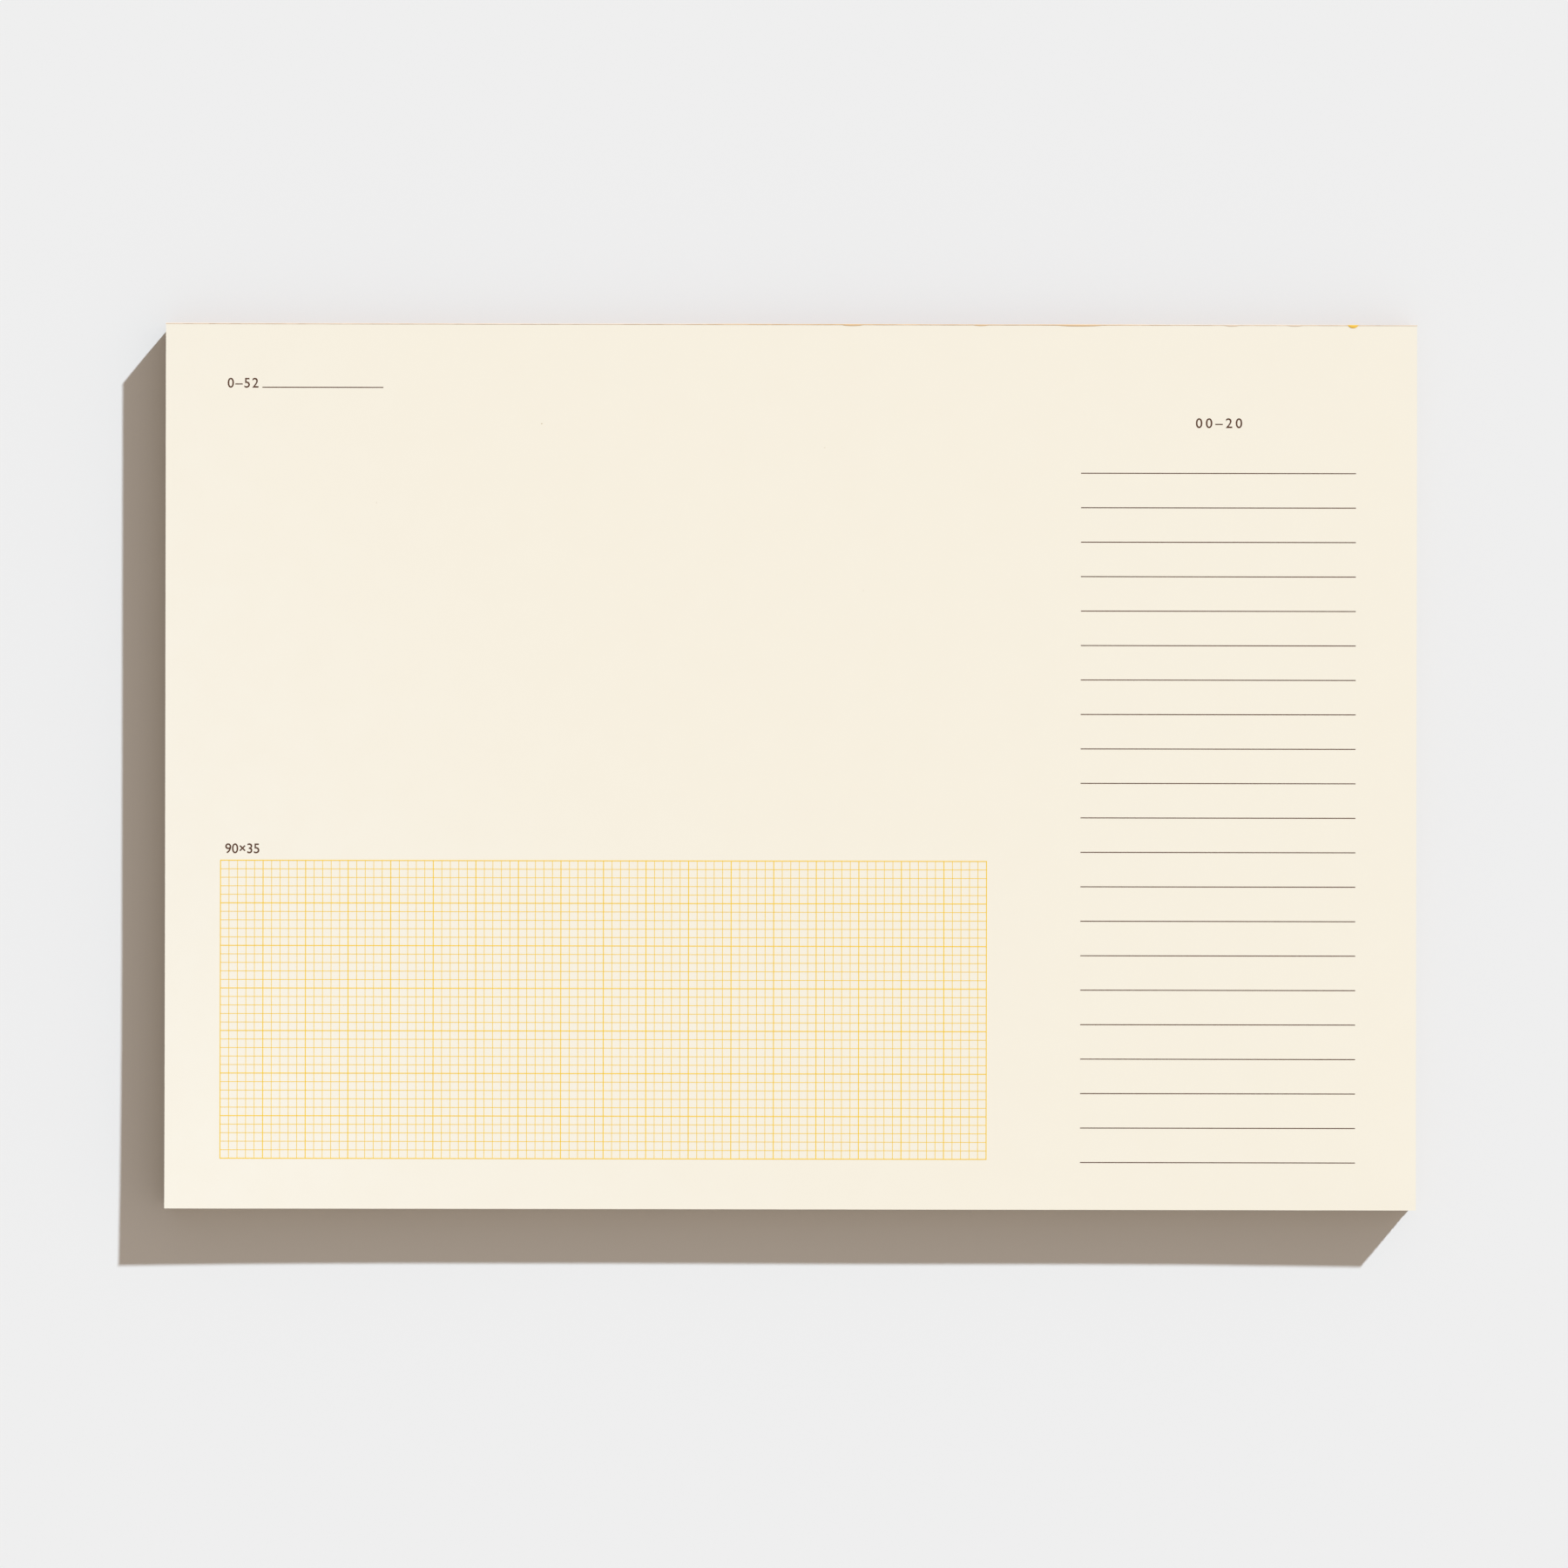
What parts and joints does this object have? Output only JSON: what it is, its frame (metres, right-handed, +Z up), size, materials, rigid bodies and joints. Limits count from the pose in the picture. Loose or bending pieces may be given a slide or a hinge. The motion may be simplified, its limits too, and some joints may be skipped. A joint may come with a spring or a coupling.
{
  "type": "desk notepad",
  "caption": "Landscape desk notepad: cream leaves glued along the top edge to a greyboard backing, with a ruled list column, a graph grid and a short rule printed on the top leaf.",
  "frame": {"origin": "middle of the pad's footprint, on the underside of the backing board", "axes": "+Z up through the leaves, +Y towards the glued top edge, +X to the reader's right along the long edge"},
  "size_m": [0.297, 0.2104, 0.008],
  "materials": {
    "cream_paper": "uncoated cream writing paper, matt",
    "greyboard": "unlined greyboard, matt, with flecks of pulp",
    "padding_compound": "brushed amber padding glue, soft and slightly glossy",
    "brown_ink": "dark brown printing ink on uncoated paper",
    "yellow_ink": "yellow printing ink on uncoated paper"
  },
  "bodies": {
    "root": {"backing_board": "greyboard", "leaf_block": "cream_paper", "glue_binding": "padding_compound", "grid_lines_down": "yellow_ink", "grid_lines_across": "yellow_ink", "date_rule": "brown_ink", "list_rule_01": "brown_ink", "list_rule_02": "brown_ink", "list_rule_03": "brown_ink", "list_rule_04": "brown_ink", "list_rule_05": "brown_ink", "list_rule_06": "brown_ink", "list_rule_07": "brown_ink", "list_rule_08": "brown_ink", "list_rule_09": "brown_ink", "list_rule_10": "brown_ink", "list_rule_11": "brown_ink", "list_rule_12": "brown_ink", "list_rule_13": "brown_ink", "list_rule_14": "brown_ink", "list_rule_15": "brown_ink", "list_rule_16": "brown_ink", "list_rule_17": "brown_ink", "list_rule_18": "brown_ink", "list_rule_19": "brown_ink", "list_rule_20": "brown_ink", "list_rule_21": "brown_ink"}
  },
  "joints": []
}
